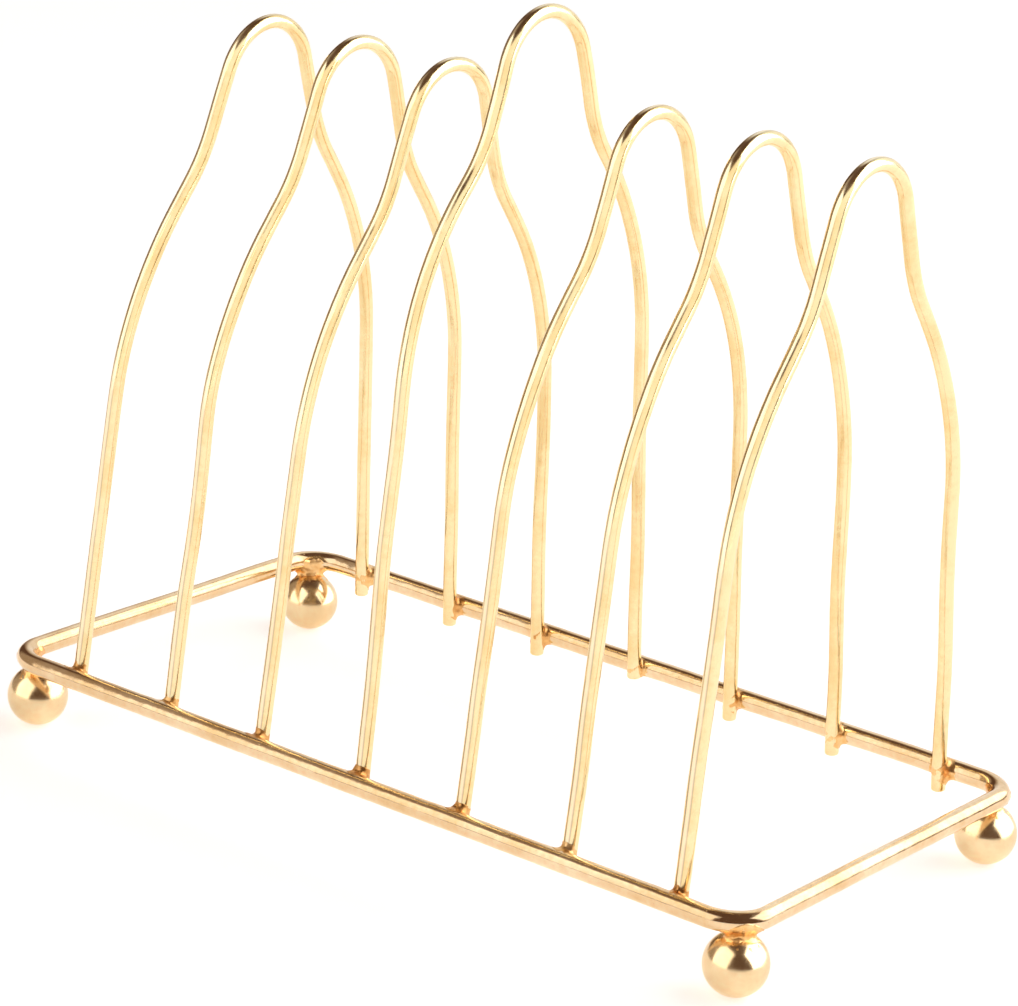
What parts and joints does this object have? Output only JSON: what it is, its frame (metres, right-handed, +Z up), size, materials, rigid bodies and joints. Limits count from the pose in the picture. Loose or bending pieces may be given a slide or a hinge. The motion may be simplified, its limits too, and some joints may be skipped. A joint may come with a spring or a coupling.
{
  "type": "toast rack",
  "caption": "Gold-plated wire toast rack: bottle-shaped hoops welded upright on a rounded rectangular base ring that stands on small ball feet; the middle hoop is taller for carrying.",
  "frame": {"origin": "on the table, under the middle of the rack's outline", "axes": "+X along the row of hoops, +Y across the rack from the front rail to the back rail, +Z up"},
  "size_m": [0.189, 0.101, 0.162],
  "materials": {
    "plated_ring": "polished gold plating on thick steel wire, faintly pitted and drawn along its length",
    "plated_hoop": "polished gold plating on steel wire",
    "plated_ball": "mirror-polished gold plating on a steel ball",
    "plated_weld": "uneven gold plating over weld and braze metal"
  },
  "bodies": {
    "root": {"base_ring": "plated_ring", "hoop_1": "plated_hoop", "hoop_2": "plated_hoop", "hoop_3": "plated_hoop", "carrying_hoop": "plated_hoop", "hoop_5": "plated_hoop", "hoop_6": "plated_hoop", "hoop_7": "plated_hoop", "weld_1_front": "plated_weld", "weld_1_back": "plated_weld", "weld_2_front": "plated_weld", "weld_2_back": "plated_weld", "weld_3_front": "plated_weld", "weld_3_back": "plated_weld", "weld_4_front": "plated_weld", "weld_4_back": "plated_weld", "weld_5_front": "plated_weld", "weld_5_back": "plated_weld", "weld_6_front": "plated_weld", "weld_6_back": "plated_weld", "weld_7_front": "plated_weld", "weld_7_back": "plated_weld", "foot_front_left": "plated_ball", "foot_front_right": "plated_ball", "foot_back_left": "plated_ball", "foot_back_right": "plated_ball", "foot_collar_front_left": "plated_weld", "foot_collar_front_right": "plated_weld", "foot_collar_back_left": "plated_weld", "foot_collar_back_right": "plated_weld"}
  },
  "joints": []
}
